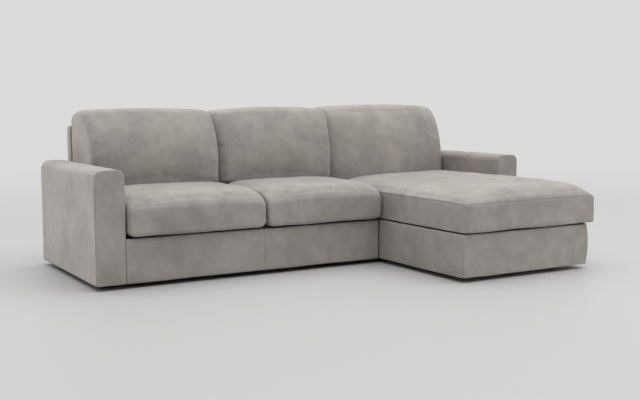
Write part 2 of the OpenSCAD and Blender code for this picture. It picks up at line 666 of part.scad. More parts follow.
// Lid of the chaise with its long cushion, whose cover reaches down round the board
lid_corner_r = 30;
module chaise_lid_board() color("burlywood") place() difference() {
    translate([box_x0, box_y0, lid_z]) linear_extrude(lid_t) {
        rounded_rect(box_x1 - box_x0, 4 * lid_corner_r, lid_corner_r);
        translate([0, 2 * lid_corner_r]) square([box_x1 - box_x0, lid_y1 - box_y0 - 2 * lid_corner_r]);
    }
    for (i = [1 : 3], j = [1 : 5]) translate([box_x0 + i * (box_x1 - box_x0) / 4,
        box_y0 + j * (lid_y1 - box_y0) / 6, lid_z - 1]) cylinder(d = 40, h = lid_t + 2);
    for (x = [box_x0, box_x1 - notch_x]) translate([x, notch_y, lid_z - 1]) cube([notch_x, 100, lid_t + 2]);
}
module chaise_cushion() color([0.68, 0.66, 0.63]) place() {
    z0 = lid_z;
    board_top = lid_z + lid_t + rest_gap;
    x0 = x_chaise + soft_gap;
    x1 = x_arm2 + chaise_side;
    dome = seat_top + 8 - chaise_seam;
    high = back_h;
    lip_clear = 22;
    dome_r = 150;
    rear_squash = 0.3;
    flat = dome_r * rear_squash;
    rise = function(d) d >= dome_r ? 1 : sqrt(max(0, 1 - pow(1 - d / dome_r, 2)));
    ys = [for (k = [0 : 5]) dome_r * pow(k / 5, 1.8)];
    xs = [for (k = [0 : 5]) x0 + ys[k]];
    xe = [for (k = [5 : -1 : 0]) x1 - ys[k]];
    xm = [for (i = [1 : 4]) x0 + dome_r + (x1 - x0 - 2 * dome_r) * i / 5];
    ring = function(x) let (f = rise(min(x - x0, x1 - x)))
        concat(
            [[y_tip, z0 + 6], [y_tip + 6, z0], [lid_y1, z0], [lid_y1, chaise_seam]],
            [for (k = [1 : 5]) [lid_y1 - ys[k] * rear_squash, chaise_seam + 1 + dome * f * rise(ys[k])]],
            [for (k = [1 : 4]) [lid_y1 - flat - (lid_y1 - flat - y_tip - dome_r) * k / 5,
                chaise_seam + 1 + dome * f + 5 * f * sin(180 * k / 5)]],
            [for (k = [5 : -1 : 1]) [y_tip + ys[k], chaise_seam + 1 + dome * f * rise(ys[k])]],
            [[y_tip, chaise_seam + 1]]);
    difference() {
        soft_loft(concat(xs, xm, xe), ring, [(y_tip + lid_y1) / 2, (z0 + chaise_seam) / 2]);
        translate([box_x0 - rest_gap, box_y0 - rest_gap, z0 - 1])
            cube([box_x1 - box_x0 + 2 * rest_gap, lid_y1 - box_y0 + 2, board_top - z0 + 1]);
        translate([x_arm2 - soft_gap, -lip_clear, z0 - 1]) cube([chaise_side + 10, sofa_d, high]);
        for (x = [x_chaise, box_x1 - notch_x - 1]) translate([x, notch_y, z0 - 1])
            cube([base_pad + notch_x + 1, 100, high]);
    }
}
// Hinge arms on the lid and their brackets on the fixed deck, at both sides of the chaise
arm_gusset = 90;
bracket_foot = 90;
module chaise_sides() {
    children();
    translate([x_chaise + x_arm2, 0, 0]) mirror([1, 0, 0]) children();
}
module lid_hinge_arms() color("gray") place() chaise_sides() plate_x(box_x0 + arm_x, hinge_arm_t)
    difference() {
        union() {
            translate([lid_hinge_y, lid_hinge_z]) circle(lid_ear_r);
            translate([lid_hinge_y - lid_ear_r, lid_z]) square([2 * lid_ear_r, lid_hinge_z - lid_z]);
            translate([notch_y + 2, lid_z]) square([lid_hinge_y - notch_y, lid_t + 8]);
            polygon([[notch_y + 20, lid_z + lid_t + 8], [lid_hinge_y, lid_z + lid_t + 8],
                [lid_hinge_y, lid_z + arm_gusset]]);
        }
        translate([lid_hinge_y, lid_hinge_z]) circle(r = lid_pin_d / 2 + pin_gap);
    }
module lid_hinge_brackets() color("gray") place() chaise_sides() {
    plate_x(box_x0 - lid_plate_t, lid_plate_t) {
        translate([lid_hinge_y, lid_hinge_z]) circle(lid_ear_r);
        translate([lid_hinge_y - lid_ear_r, lid_z]) square([2 * lid_ear_r, lid_hinge_z - lid_z]);
        translate([lid_hinge_y, lid_z])
            square([cross_board_y + bracket_foot - lid_hinge_y, lid_t - rest_gap]);
    }
    plate_x(box_x0 - lid_plate_t, lid_plate_t + notch_x)
        translate([lid_hinge_y, lid_hinge_z]) circle(d = lid_pin_d);
}

left_arm_frame();
left_arm_cover();
right_arm_frame();
right_arm_cover();
sofa_back_frame();
sofa_back_cover();
chaise_back_frame();
chaise_back_cover();
front_board();
front_cover();
left_side_rail();
right_side_rail();
rear_rail();
left_lift_plate();
right_lift_plate();
base_cross_tubes();
rest_pads();
sofa_feet();
left_lift_links();
right_lift_links();
rear_lift_links();
head_frame();
slat_holders();
head_slats();
head_mattress();
seat_frame();
seat_mesh();
seat_belts();
seat_mattress();
left_seat_cushion();
right_seat_cushion();
bed_legs();
leg_caps();
back_section_frame();
back_section_mesh();
back_section_belts();
back_section_mattress();
left_back_cushion();
right_back_cushion();
chaise_front_board();
chaise_left_board();
chaise_right_board();
chaise_cross_board();
chaise_rear_board();
chaise_floor_board();
chaise_deck_board();
chaise_base_cover();
chaise_feet();
chaise_back_cushion();
chaise_lid_board();
chaise_cushion();
lid_hinge_arms();
lid_hinge_brackets();
module_plates();
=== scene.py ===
"""Looks of a chaise sofa bed in warm grey microfibre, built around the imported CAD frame."""
import json
import math

import bmesh
import bpy
import numpy as np
from mathutils import Euler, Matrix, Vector, noise


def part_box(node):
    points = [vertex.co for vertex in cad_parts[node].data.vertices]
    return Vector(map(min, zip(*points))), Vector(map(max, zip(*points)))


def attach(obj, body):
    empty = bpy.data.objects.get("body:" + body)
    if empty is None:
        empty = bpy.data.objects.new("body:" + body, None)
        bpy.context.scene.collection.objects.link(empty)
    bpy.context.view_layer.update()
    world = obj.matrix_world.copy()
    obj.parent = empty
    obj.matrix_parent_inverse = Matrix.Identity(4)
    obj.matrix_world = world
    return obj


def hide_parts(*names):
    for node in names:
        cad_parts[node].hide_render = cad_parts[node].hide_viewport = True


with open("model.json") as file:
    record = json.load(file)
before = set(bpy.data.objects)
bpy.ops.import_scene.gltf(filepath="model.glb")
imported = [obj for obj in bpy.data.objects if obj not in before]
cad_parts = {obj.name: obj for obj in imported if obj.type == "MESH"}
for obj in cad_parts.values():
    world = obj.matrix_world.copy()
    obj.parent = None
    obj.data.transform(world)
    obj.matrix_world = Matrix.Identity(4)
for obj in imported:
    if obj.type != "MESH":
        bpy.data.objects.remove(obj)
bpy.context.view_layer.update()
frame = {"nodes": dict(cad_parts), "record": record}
scene = bpy.context.scene

# Camera at the photograph's viewpoint
camera_data = bpy.data.cameras.new("camera")
camera_data.sensor_width = 36.0
camera_data.lens = 53.2
camera = bpy.data.objects.new("camera", camera_data)
camera.location = (-2.809, -4.6085, 0.9389)
camera.rotation_euler = Euler((math.radians(84.06), 0.0, math.radians(-31.10)))
scene.collection.objects.link(camera)
scene.camera = camera
scene.view_settings.view_transform = "Standard"

# Sizes that several pieces share, in metres
CELL = 0.010  # grid of the seat and back cushions
PANEL_CELL = 0.014  # grid of the flat covers and the mattress
REACH = 0.005  # how far the base, arm and outer back covers hang under their solids

# Cloth that blows the cushions up
PRESSURE = 4.0
FRAMES = 20
SWELL = 0.6  # how much of the outward swelling shows
SLACK = 0.3  # how much of the sideways pull shows


# Node helpers
def new_material(name):
    mat = bpy.data.materials.new(name)
    mat.use_nodes = True
    nodes = mat.node_tree.nodes
    nodes.clear()
    out = nodes.new("ShaderNodeOutputMaterial")
    shader = nodes.new("ShaderNodeBsdfPrincipled")
    mat.node_tree.links.new(shader.outputs["BSDF"], out.inputs["Surface"])
    return mat, shader


def add_node(mat, kind, **values):
    node = mat.node_tree.nodes.new(kind)
    for key, value in values.items():
        if key in node.inputs:
            node.inputs[key].default_value = value
        else:
            setattr(node, key, value)
    return node


def link(mat, source, target):
    mat.node_tree.links.new(source, target)


def coords(mat, scale=(1, 1, 1)):
    """Object coordinates, stretched by scale."""
    source = add_node(mat, "ShaderNodeTexCoord")
    mapping = add_node(mat, "ShaderNodeMapping", Scale=scale)
    link(mat, source.outputs["Object"], mapping.inputs["Vector"])
    return mapping.outputs["Vector"]


def noise_at(mat, vector, scale, detail, rough=0.5, warp=0.0):
    node = add_node(mat, "ShaderNodeTexNoise", Scale=scale, Detail=detail, Roughness=rough, Distortion=warp)
    link(mat, vector, node.inputs["Vector"])
    return node.outputs["Fac"]


def ramp(mat, factor, stops):
    node = add_node(mat, "ShaderNodeValToRGB")
    elements = node.color_ramp.elements
    for i, (place, colour) in enumerate(stops):
        element = elements[i] if i < len(elements) else elements.new(place)
        element.position = place
        element.color = (*colour, 1)
    link(mat, factor, node.inputs["Fac"])
    return node.outputs["Color"]


def blend_colours(mat, factor, first, second, mode="MIX"):
    node = add_node(mat, "ShaderNodeMix", data_type="RGBA", blend_type=mode)
    for value, socket in ((factor, node.inputs[0]), (first, node.inputs[6]), (second, node.inputs[7])):
        if hasattr(value, "links"):
            link(mat, value, socket)
        else:
            socket.default_value = value if isinstance(value, float) else (*value, 1)
    return node.outputs[2]


def bump(mat, shader, heights):
    """Chains bump nodes: heights is a list of (socket, strength, distance)."""
    normal = None
    for height, strength, distance in heights:
        node = add_node(mat, "ShaderNodeBump", Strength=strength, Distance=distance)
        link(mat, height, node.inputs["Height"])
        if normal is not None:
            link(mat, normal, node.inputs["Normal"])
        normal = node.outputs["Normal"]
    link(mat, normal, shader.inputs["Normal"])


# Materials
def suede(name, colour, contrast):
    """Brushed microfibre: soft patches where the nap lies differently, finger marks, a pale sheen and
    painted shade along its seams.
    """
    mat, shader = new_material(name)
    place = coords(mat)
    broad = noise_at(mat, place, 4.2, 3.0, 0.55, 0.4)
    marks = noise_at(mat, coords(mat, (1.0, 1.0, 0.8)), 13.0, 5.0, 0.62, 0.5)
    small = noise_at(mat, place, 38.0, 3.0, 0.6)
    blend = add_node(mat, "ShaderNodeMix", data_type="FLOAT")
    blend.inputs[0].default_value = 0.45
    link(mat, broad, blend.inputs[2])
    link(mat, marks, blend.inputs[3])
    dark = tuple(c * (1 - contrast) for c in colour)
    pale = tuple(c * (1 + contrast) for c in colour)
    tone = ramp(mat, blend.outputs[0], [(0.38, dark), (0.50, colour), (0.62, pale)])
    speckle = ramp(mat, small, [(0.35, (0.965,) * 3), (0.65, (1.03,) * 3)])
    tone = blend_colours(mat, 1.0, tone, speckle, "MULTIPLY")
    grain = ramp(mat, noise_at(mat, place, 420.0, 2.0, 0.6), [(0.3, (0.95,) * 3), (0.7, (1.04,) * 3)])
    tone = blend_colours(mat, 1.0, tone, grain, "MULTIPLY")
    # Painted shade: the attribute that sew writes darkens the colour to about a third in the stitched
    # grooves, where shade falls
    seam = add_node(mat, "ShaderNodeAttribute", attribute_name="seam")
    tone = blend_colours(mat, seam.outputs["Fac"], tone, tuple(c * 0.35 for c in colour))
    link(mat, tone, shader.inputs["Base Color"])
    shader.inputs["Roughness"].default_value = 0.88
    shader.inputs["Specular IOR Level"].default_value = 0.25
    shader.inputs["Sheen Weight"].default_value = 0.35
    shader.inputs["Sheen Roughness"].default_value = 0.40
    shader.inputs["Sheen Tint"].default_value = (0.95, 0.93, 0.90, 1)
    bump(mat, shader, [
        (noise_at(mat, place, 26.0, 4.0, 0.6, 0.4), 0.14, 0.004),
        (noise_at(mat, place, 900.0, 2.0, 0.7), 0.30, 0.0006)])
    return mat


def sawn_wood(name, pale, dark, along, rings=26.0):
    """Plain wood with its grain stretched along one axis."""
    mat, shader = new_material(name)
    stretch = tuple(0.06 if i == along else 1.0 for i in range(3))
    place = coords(mat, stretch)
    grain = noise_at(mat, place, rings, 6.0, 0.62, 1.6)
    fine = noise_at(mat, place, rings * 12, 3.0, 0.6)
    tone = ramp(mat, grain, [(0.30, dark), (0.52, pale), (0.72, tuple(min(1, c * 1.08) for c in pale))])
    tone = blend_colours(mat, 0.22, tone, ramp(mat, fine, [(0.35, dark), (0.7, pale)]))
    link(mat, tone, shader.inputs["Base Color"])
    shader.inputs["Roughness"].default_value = 0.62
    bump(mat, shader, [(fine, 0.25, 0.0008)])
    return mat


def chip_board(name):
    """Melamine-faced particle board with a faint print of its chips."""
    mat, shader = new_material(name)
    place = coords(mat)
    chips = add_node(mat, "ShaderNodeTexVoronoi", Scale=190.0)
    link(mat, place, chips.inputs["Vector"])
    tone = ramp(mat, chips.outputs["Distance"], [(0.1, (0.36, 0.28, 0.20)), (0.6, (0.50, 0.41, 0.30))])
    tone = blend_colours(mat, 0.35, tone, ramp(mat, noise_at(mat, place, 30.0, 4.0), [
        (0.3, (0.42, 0.34, 0.25)), (0.7, (0.52, 0.43, 0.32))]))
    link(mat, tone, shader.inputs["Base Color"])
    shader.inputs["Roughness"].default_value = 0.7
    bump(mat, shader, [(chips.outputs["Distance"], 0.2, 0.0006)])
    return mat


def coated_steel(name, colour, metal, rough, grain_scale):
    """Painted or plated steel with a slight orange peel and worn spots."""
    mat, shader = new_material(name)
    place = coords(mat)
    cloud = noise_at(mat, place, 24.0, 4.0, 0.6)
    link(mat, ramp(mat, cloud, [(0.3, tuple(c * 0.86 for c in colour)), (0.7, colour)]),
         shader.inputs["Base Color"])
    shade = add_node(mat, "ShaderNodeMapRange")
    link(mat, cloud, shade.inputs["Value"])
    shade.inputs["To Min"].default_value = rough - 0.07
    shade.inputs["To Max"].default_value = rough + 0.09
    link(mat, shade.outputs["Result"], shader.inputs["Roughness"])
    shader.inputs["Metallic"].default_value = metal
    bump(mat, shader, [(noise_at(mat, place, grain_scale, 2.0), 0.12, 0.0004)])
    return mat


def moulded_black(name, rough):
    mat, shader = new_material(name)
    place = coords(mat)
    speck = noise_at(mat, place, 700.0, 2.0)
    link(mat, ramp(mat, speck, [(0.3, (0.012, 0.012, 0.013)), (0.7, (0.030, 0.030, 0.032))]),
         shader.inputs["Base Color"])
    shader.inputs["Roughness"].default_value = rough
    bump(mat, shader, [(speck, 0.25, 0.0004)])
    return mat


def knitted_ticking(name):
    """Mattress cover: off-white knit with fine ribs, and sewn channels darkened with painted shade."""
    mat, shader = new_material(name)
    place = coords(mat)
    ribs = add_node(mat, "ShaderNodeTexWave", Scale=130.0, Distortion=0.6, wave_type="BANDS")
    link(mat, place, ribs.inputs["Vector"])
    tone = ramp(mat, ribs.outputs["Fac"], [(0.2, (0.66, 0.63, 0.57)), (0.8, (0.78, 0.76, 0.70))])
    # Painted shade: the attribute that sew writes darkens the sewn channels, where shade falls
    seam = add_node(mat, "ShaderNodeAttribute", attribute_name="seam")
    tone = blend_colours(mat, seam.outputs["Fac"], tone, (0.50, 0.47, 0.42))
    link(mat, tone, shader.inputs["Base Color"])
    shader.inputs["Roughness"].default_value = 0.9
    shader.inputs["Sheen Weight"].default_value = 0.15
    bump(mat, shader, [(ribs.outputs["Fac"], 0.3, 0.0006)])
    return mat


def woven_webbing(name):
    mat, shader = new_material(name)
    place = coords(mat)
    checks = add_node(mat, "ShaderNodeTexWave", Scale=210.0, Distortion=0.3, bands_direction="X")
    cross = add_node(mat, "ShaderNodeTexWave", Scale=160.0, Distortion=0.3, bands_direction="DIAGONAL")
    link(mat, place, checks.inputs["Vector"])
    link(mat, place, cross.inputs["Vector"])
    tone = blend_colours(mat, checks.outputs["Fac"], (0.018, 0.018, 0.020), (0.055, 0.055, 0.060))
    tone = blend_colours(mat, 0.4, tone, ramp(mat, cross.outputs["Fac"], [
        (0.3, (0.02, 0.02, 0.02)), (0.8, (0.08, 0.08, 0.09))]))
    link(mat, tone, shader.inputs["Base Color"])
    shader.inputs["Roughness"].default_value = 0.75
    bump(mat, shader, [(checks.outputs["Fac"], 0.4, 0.0006)])
    return mat


GREY = (0.345, 0.320, 0.293)
looks = {
    "upholstery": suede("upholstery_suede", GREY, 0.13),
    "cushion_fabric": suede("cushion_suede", GREY, 0.14),
    "frame_wood": sawn_wood("pine_frame", (0.60, 0.44, 0.27), (0.40, 0.26, 0.13), 2),
    "box_board": chip_board("particle_board"),
    "slat_wood": sawn_wood("beech_slats", (0.68, 0.52, 0.33), (0.50, 0.35, 0.19), 0, 40.0),
    "steel": coated_steel("powder_coated_steel", (0.075, 0.076, 0.080), 0.0, 0.42, 500.0),
    "zinc": coated_steel("zinc_plated_steel", (0.50, 0.51, 0.52), 1.0, 0.36, 350.0),
    "wire": coated_steel("galvanised_wire", (0.44, 0.45, 0.46), 1.0, 0.42, 350.0),
    "black_plastic": moulded_black("moulded_black_plastic", 0.55),
    "pad_rubber": moulded_black("black_rubber", 0.8),
    "ticking": knitted_ticking("mattress_ticking"),
    "webbing": woven_webbing("black_webbing"),
    "lining": moulded_black("black_lining", 0.95),
}


# Shape helpers: every outline is made in metres
def resample(points, count):
    """The polyline as count + 1 points at even spacing."""
    pts = np.array(points, float)
    step = np.linalg.norm(np.diff(pts, axis=0), axis=1)
    run = np.concatenate([[0], np.cumsum(step)])
    want = np.linspace(0, run[-1], count + 1)
    return np.stack([np.interp(want, run, pts[:, i]) for i in range(pts.shape[1])], 1)


def bend(a, b, c, count):
    """Curve from a to c that leans towards b, as count + 1 points."""
    t = np.linspace(0, 1, count + 1)[:, None]
    a, b, c = (np.array(p, float) for p in (a, b, c))
    return a * (1 - t) ** 2 + 2 * b * t * (1 - t) + c * t ** 2


def ellipse_corner(centre, radii, start, stop, count=14, power=2.0):
    """Arc from start to stop in degrees: a power over 2 makes it fuller."""
    t = np.radians(np.linspace(start, stop, count + 1))
    c, s = np.cos(t), np.sin(t)
    return np.stack([centre[0] + radii[0] * np.sign(c) * np.abs(c) ** (2 / power),
                     centre[1] + radii[1] * np.sign(s) * np.abs(s) ** (2 / power)], 1)


def four_sides(outline, breaks, counts):
    """Splits a closed outline at four indices into sides with the given numbers of cells."""
    sides = []
    n = len(outline)
    for i in range(len(breaks)):
        first, last = breaks[i], breaks[(i + 1) % len(breaks)]
        if last <= first:
            last += n
        run = [outline[k % n] for k in range(first, last + 1)]
        sides.append(resample(run, counts[i % 2]))
    return np.concatenate([s[:-1] for s in sides])


def rect_ring(low, high, radii, counts, power=2.0):
    """Rectangle with elliptic corners as a ring of four sides: bottom, far side, top, near side.
    radii holds (across, up) for near-bottom, far-bottom, far-top and near-top; power shapes the last."""
    (y0, z0), (y1, z1) = low, high
    corners = [
        ((y0 + radii[0][0], z0 + radii[0][1]), radii[0], 180, 270),
        ((y1 - radii[1][0], z0 + radii[1][1]), radii[1], 270, 360),
        ((y1 - radii[2][0], z1 - radii[2][1]), radii[2], 0, 90),
        ((y0 + radii[3][0], z1 - radii[3][1]), radii[3], 90, 180)]
    points, breaks = [], []
    for k, (centre, r, start, stop) in enumerate(corners):
        arc = ellipse_corner(centre, r, start, stop, power=power if k == 3 else 2.0)
        breaks.append(len(points) + len(arc) // 2)
        points.extend(arc)
    return four_sides(points, breaks, counts)


def coons(ring, counts):
    """Grid of points that fills a ring of four sides."""
    a, b = counts
    bottom = ring[0:a + 1]
    far = ring[a:a + b + 1]
    top = ring[a + b:2 * a + b + 1][::-1]
    near = np.concatenate([ring[2 * a + b:], ring[:1]])[::-1]
    u = np.linspace(0, 1, a + 1)[:, None, None]
    v = np.linspace(0, 1, b + 1)[None, :, None]
    return ((1 - v) * bottom[:, None] + v * top[:, None] + (1 - u) * near[None] + u * far[None]
            - (1 - u) * (1 - v) * bottom[0] - u * (1 - v) * bottom[-1]
            - (1 - u) * v * top[0] - u * v * top[-1])


def loft(name, rings, counts):
    """Closed quad mesh from rings of equal size, each of four sides with counts cells, capped with grids."""
    rings = np.array(rings, float)
    m, n = rings.shape[:2]
    a, b = counts
    points = [rings.reshape(-1, 3)]
    faces = []
    for i in range(m - 1):
        for k in range(n):
            k2 = (k + 1) % n
            faces.append((i * n + k, i * n + k2, (i + 1) * n + k2, (i + 1) * n + k))
    total = m * n
    for end in (0, m - 1):
        grid = coons(rings[end], counts)
        index = -np.ones((a + 1, b + 1), int)
        base = end * n
        for j in range(a + 1):
            index[j, 0] = base + j
            index[j, b] = base + (2 * a + b - j)
        for k in range(b + 1):
            index[a, k] = base + a + k
            index[0, k] = base + (n - k) % n
        inner = []
        for j in range(1, a):
            for k in range(1, b):
                index[j, k] = total + len(inner)
                inner.append(grid[j, k])
        total += len(inner)
        if inner:
            points.append(np.array(inner))
        for j in range(a):
            for k in range(b):
                quad = (index[j, k], index[j, k + 1], index[j + 1, k + 1], index[j + 1, k])
                faces.append(quad if end == 0 else quad[::-1])
    mesh = bpy.data.meshes.new(name)
    mesh.from_pydata(np.concatenate(points).tolist(), [], [tuple(int(i) for i in f) for f in faces])
    mesh.update()
    return finish_mesh(name, mesh)


def finish_mesh(name, mesh):
    """Turns the normals outwards, shades smooth and makes the object."""
    bm = bmesh.new()
    bm.from_mesh(mesh)
    bmesh.ops.recalc_face_normals(bm, faces=bm.faces)
    bm.to_mesh(mesh)
    bm.free()
    mesh.polygons.foreach_set("use_smooth", [True] * len(mesh.polygons))
    obj = bpy.data.objects.new(name, mesh)
    scene.collection.objects.link(obj)
    return obj


def vertices(obj):
    co = np.empty(len(obj.data.vertices) * 3)
    obj.data.vertices.foreach_get("co", co)
    return co.reshape(-1, 3)


def set_vertices(obj, co):
    obj.data.vertices.foreach_set("co", np.asarray(co, float).ravel())
    obj.data.update()


def normals(obj):
    co = np.empty(len(obj.data.vertices) * 3, np.float32)
    obj.data.vertex_normals.foreach_get("vector", co)
    return co.reshape(-1, 3).astype(float)


def keep_cut(obj):
    """Remembers where each point lay before the stuffing moves it, as the attribute cut."""
    cut = obj.data.attributes.new("cut", "FLOAT_VECTOR", "POINT")
    cut.data.foreach_set("vector", vertices(obj).astype(np.float32).ravel())


def read_cut(obj):
    co = np.empty(len(obj.data.vertices) * 3, np.float32)
    obj.data.attributes["cut"].data.foreach_get("vector", co)
    return co.reshape(-1, 3).astype(float)


def apply_modifiers(obj):
    bpy.context.view_layer.update()
    done = obj.evaluated_get(bpy.context.evaluated_depsgraph_get())
    mesh = bpy.data.meshes.new_from_object(done)
    obj.modifiers.clear()
    old = obj.data
    obj.data = mesh
    mesh.name = old.name
    bpy.data.meshes.remove(old)


def subdivide(obj):
    modifier = obj.modifiers.new("smooth", "SUBSURF")
    modifier.levels = modifier.render_levels = 1
    apply_modifiers(obj)
    obj.data.polygons.foreach_set("use_smooth", [True] * len(obj.data.polygons))


def rumple(obj, height, size, seed):
    """Small soft unevenness along the normals, as hand-filled covers have."""
    co, nor = vertices(obj), normals(obj)
    shift = Vector((seed * 7.3, seed * 3.1, seed * 5.7))
    push = np.array([noise.fractal(Vector(p) / size + shift, 1.0, 2.0, 3) for p in co])
    set_vertices(obj, co + nor * (push * height)[:, None])


def sew(obj, distance, depth, width, tone=0.6):
    """Draws the cover in along one of its seams and paints shade into the groove there, as dark as tone:
    distance gives each point's distance to that line, from its cut place."""
    away = np.abs(distance(read_cut(obj)))
    pull = np.exp(-(away / width) ** 2)
    set_vertices(obj, vertices(obj) - normals(obj) * (pull * depth)[:, None])
    seam = obj.data.attributes.get("seam")
    old = np.zeros(len(away), np.float32)
    if seam is None:
        seam = obj.data.attributes.new("seam", "FLOAT", "POINT")
    else:
        seam.data.foreach_get("value", old)
    # Painted shade: how far the colour is darkened along the stitched groove
    painted_shade = np.exp(-(away / (0.55 * width)) ** 2) * tone
    seam.data.foreach_set("value", np.maximum(old, painted_shade).astype(np.float32))


def fill(obj, limit, low, high):
    """Blows a cover up with simulated cloth and keeps it inside the box from low to high, where it
    presses on what it touches: None leaves a side of the box open. It swells outwards by less than
    limit."""
    start, out = vertices(obj), normals(obj)
    cloth = obj.modifiers.new("cloth", "CLOTH")
    cloth.settings.quality = 5
    cloth.settings.mass = 0.3
    cloth.settings.tension_stiffness = 20
    cloth.settings.compression_stiffness = 20
    cloth.settings.shear_stiffness = 10
    cloth.settings.bending_stiffness = 1.5
    cloth.settings.use_pressure = True
    cloth.settings.uniform_pressure_force = PRESSURE
    cloth.settings.effector_weights.gravity = 0
    cloth.collision_settings.use_collision = False
    cloth.collision_settings.use_self_collision = False
    cloth.point_cache.frame_start = 1
    cloth.point_cache.frame_end = FRAMES
    for f in range(1, FRAMES + 1):
        scene.frame_set(f)
    apply_modifiers(obj)
    scene.frame_set(1)
    moved = vertices(obj) - start
    swollen = np.sum(moved * out, axis=1)
    push = SWELL * limit * np.tanh(np.maximum(swollen, -0.1 * limit) / limit)
    along = moved - out * swollen[:, None]
    size = np.maximum(np.linalg.norm(along, axis=1), 1e-9)
    pull = SLACK * limit * np.tanh(size / limit) / size
    co = start + out * push[:, None] + along * pull[:, None]
    co = np.maximum(co, np.array([-np.inf if v is None else v for v in low]))
    co = np.minimum(co, np.array([np.inf if v is None else v for v in high]))
    set_vertices(obj, co)


def dress(obj, body, slot, *nodes):
    """Gives a piece its material, its body and the CAD nodes that it stands for."""
    obj.data.materials.clear()
    obj.data.materials.append(looks[slot])
    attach(obj, body)
    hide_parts(*nodes)


def end_stations(low, high, radius, cell, steps=5):
    """Places along an axis: close together in the rounded ends."""
    t = np.radians(np.linspace(0, 90, steps + 1))
    first = low + radius * (1 - np.cos(t))
    count = max(2, int(round((high - low - 2 * radius) / cell)))
    middle = np.linspace(low + radius, high - radius, count + 1)[1:-1]
    return np.concatenate([first, middle, (low + high) - first[::-1]])


def rounding(d, radius):
    """How far a round edge of this radius lies in at a distance d from its end."""
    return 0.0 if d >= radius else radius - math.sqrt(max(0.0, radius ** 2 - (radius - d) ** 2))


def swell(t):
    """Crown from end to end: 0 at both ends, 1 in the middle and flat near it."""
    return 1 - abs(2 * t - 1) ** 2.5


# Seat cushions: the front of the underside hangs a step lower, in front of the head frame
def seat_cushion(node, seed):
    low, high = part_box(node)
    # The photographed joint between the two lies a little right of the solids' joint
    joint_shift, right_reach = 0.017, 0.004
    x0 = low.x if node.startswith("left") else low.x + joint_shift
    x1 = high.x + joint_shift if node.startswith("left") else high.x + right_reach
    step, step_y, step_run = 0.0045, -0.060, 0.012
    z0 = low.z - step
    inset, ends, front_r = 0.005, 0.042, 0.016
    top_edge, crown, limit, ceiling = 0.459, 0.018, 0.016, 0.4825
    thick = 0.2
    counts = (int((high.y - low.y) / CELL), int(thick / CELL))

    def floor(ys):
        return z0 + step * np.clip((ys - step_y) / step_run, 0, 1)

    rings = []
    for x in end_stations(x0 + inset, x1 - inset, ends, CELL):
        t = (x - x0) / (x1 - x0)
        d = min(x - x0 - inset, x1 - inset - x)
        draw, plan = rounding(d, ends), rounding(d, front_r)
        ring = rect_ring((low.y + inset + plan * 0.8, z0 + draw * 0.66),
                         (high.y + 0.001 - draw * 0.2, top_edge + crown * swell(t) - draw * 0.45),
                         ((0.020, 0.015), (0.012, 0.012), (0.012, 0.010), (0.225, 0.084)), counts, 2.4)
        ring[:, 1] = np.maximum(ring[:, 1], floor(ring[:, 0]))
        rings.append(np.column_stack([np.full(len(ring), x), ring]))
    obj = loft(node + "_soft", rings, counts)
    keep_cut(obj)
    fill(obj, limit, (x0 + 0.0005, low.y - 0.002, z0), (x1 - 0.0005, high.y + 0.003, ceiling))
    co = vertices(obj)
    co[:, 2] = np.maximum(co[:, 2], floor(co[:, 1]))
    set_vertices(obj, co)
    subdivide(obj)
    seam_z, low_seam_z = 0.419, z0 + 0.036
    front = low.y + 0.12

    def front_seam(cut):
        ends_gap = np.maximum(0, np.maximum(x0 + 0.03 - cut[:, 0], cut[:, 0] - x1 + 0.03))
        return np.where(cut[:, 1] < front, np.hypot(cut[:, 2] - seam_z, ends_gap * 0.3), 1.0)

    def low_seam(cut):
        return np.where(cut[:, 1] < low.y + 0.06, np.abs(cut[:, 2] - low_seam_z), 1.0)

    # The last figure of each sew sets how dark its painted shade is
    sew(obj, front_seam, 0.0016, 0.0030, 0.36)
    sew(obj, low_seam, 0.0008, 0.0026, 0.14)
    rumple(obj, 0.0030, 0.18, seed)
    dress(obj, "seat_section", "cushion_fabric", node)


seat_cushion("left_seat_cushion", 3)
seat_cushion("right_seat_cushion", 8)


# Back cushions: an upright face that leans back and rolls over at the top
def back_outline(face, top, rear, z0, step_z, step_y, c, roll, roof_end):
    """The four sides of the outline in Y and Z: c is how far the face swells out, roll how deep the
    top of the face rolls back."""
    front = np.concatenate([
        bend((face, z0 + 0.012), (face - c * 0.3, z0 + 0.07), (face - c * 0.6, z0 + 0.12), 8),
        bend((face - c * 0.6, z0 + 0.12), (face + 0.003 - c, top - roll),
             (face + roll, top - 0.016 + c * 0.3), 24)[1:]])
    roof = np.concatenate([
        bend((face + roll, top - 0.016 + c * 0.3), (face + roll + 0.045, top + c * 0.4),
             (face + 0.225, top + c * 0.4), 10),
        bend((face + 0.225, top + c * 0.4), (rear - 0.010, top), (rear, roof_end), 16)[1:]])
    low = [(face + 0.012, z0)]
    back = [(rear, roof_end)] if step_y is None else [(rear, step_z), (step_y, step_z)]
    foot = [(rear, z0)] if step_y is None else [(step_y, z0)]
    crest = 8  # so many points at the top of the face belong to the top side
    return {
        "bottom": [*low, *foot],
        "far": [*foot, *back[::-1]],
        "top": [back[0], *roof[::-1], *front[::-1][1:crest]],
        "near": [*front[-crest::-1], *low],
    }


